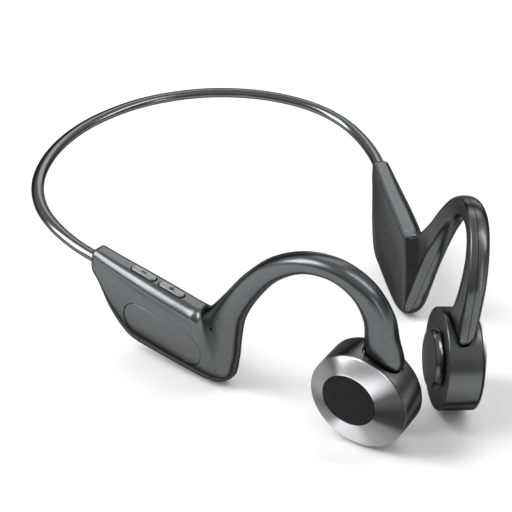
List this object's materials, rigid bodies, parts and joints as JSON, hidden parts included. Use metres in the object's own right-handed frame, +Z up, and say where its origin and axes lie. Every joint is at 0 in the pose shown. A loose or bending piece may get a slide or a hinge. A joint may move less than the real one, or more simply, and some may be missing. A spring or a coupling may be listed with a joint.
{
  "type": "bone conduction headphones",
  "caption": "Dark metallic-grey bone conduction headphones with ear hooks, drum-shaped transducers, rail buttons and a thin neckband.",
  "frame": {"origin": "middle of the underside of the bounding box, below the wearer's head gap", "axes": "+Y rearwards, from the transducers to the back of the neckband; +Z up; +X to the wearer's left"},
  "size_m": [0.1, 0.144, 0.0496],
  "materials": {
    "shell": "gloss",
    "panel": "satin",
    "cone": "brushed",
    "pad": "satin",
    "disc": "matte",
    "button": "satin",
    "band": "gloss",
    "steel": "brushed",
    "copper": "satin",
    "board": "matte",
    "cell": "satin",
    "plastic": "matte"
  },
  "bodies": {
    "neckband": {"neckband_sleeve_centre": "band", "neckband_wire_centre": "steel", "signal_cable_centre": "copper"},
    "left_side": {"outer_shell_left": "shell", "inner_shell_left": "shell", "side_panel_left": "panel", "hook_wire_left": "steel", "transducer_housing_left": "shell", "transducer_cone_left": "cone", "contact_pad_left": "pad", "spring_plate_left": "steel", "voice_coil_left": "copper", "driver_magnet_left": "steel", "driver_yoke_left": "steel", "neckband_sleeve_left": "band", "neckband_wire_left": "steel", "signal_cable_left": "copper", "multifunction_switch": "plastic", "battery": "cell"},
    "right_side": {"outer_shell_right": "shell", "inner_shell_right": "shell", "side_panel_right": "panel", "hook_wire_right": "steel", "transducer_housing_right": "shell", "transducer_cone_right": "cone", "contact_pad_right": "pad", "spring_plate_right": "steel", "voice_coil_right": "copper", "driver_magnet_right": "steel", "driver_yoke_right": "steel", "disc_right": "disc", "neckband_sleeve_right": "band", "neckband_wire_right": "steel", "signal_cable_right": "copper", "main_board": "board", "microphone": "plastic", "charge_socket": "steel", "volume_down_switch": "plastic", "volume_up_switch": "plastic"},
    "multifunction_key": {"multifunction_button": "disc"},
    "volume_down_key": {"volume_down_button": "button"},
    "volume_up_key": {"volume_up_button": "button"},
    "hatch": {"charge_hatch": "plastic"}
  },
  "joints": [
    {"name": "left_flex", "type": "hinge", "parent": "neckband", "child": "left_side", "pos_m": [0.03511, 0.06141, 0.03068], "axis": [0, 0, 1], "range_deg": [-1, 32], "stiffness_Nm_per_rad": 0.2},
    {"name": "right_flex", "type": "hinge", "parent": "neckband", "child": "right_side", "pos_m": [-0.03511, 0.06141, 0.03068], "axis": [0, 0, -1], "range_deg": [-1, 32], "stiffness_Nm_per_rad": 0.2},
    {"name": "multifunction_press", "type": "slide", "parent": "left_side", "child": "multifunction_key", "axis": [-0.8997, 0.4303, 0.074], "range_m": [0, 0.0005], "stiffness_N_per_m": 400, "springref_m": -0.0003},
    {"name": "volume_down_press", "type": "slide", "parent": "right_side", "child": "volume_down_key", "axis": [-0.058, 0.1552, -0.9862], "range_m": [0, 0.0005], "stiffness_N_per_m": 400, "springref_m": -0.0003},
    {"name": "volume_up_press", "type": "slide", "parent": "right_side", "child": "volume_up_key", "axis": [-0.058, 0.1552, -0.9862], "range_m": [0, 0.0005], "stiffness_N_per_m": 400, "springref_m": -0.0003},
    {"name": "hatch_swing", "type": "hinge", "parent": "right_side", "child": "hatch", "pos_m": [-0.039, 0.00196, 0.0022], "axis": [0.9367, 0.3502, 0], "range_deg": [0, 100]}
  ]
}
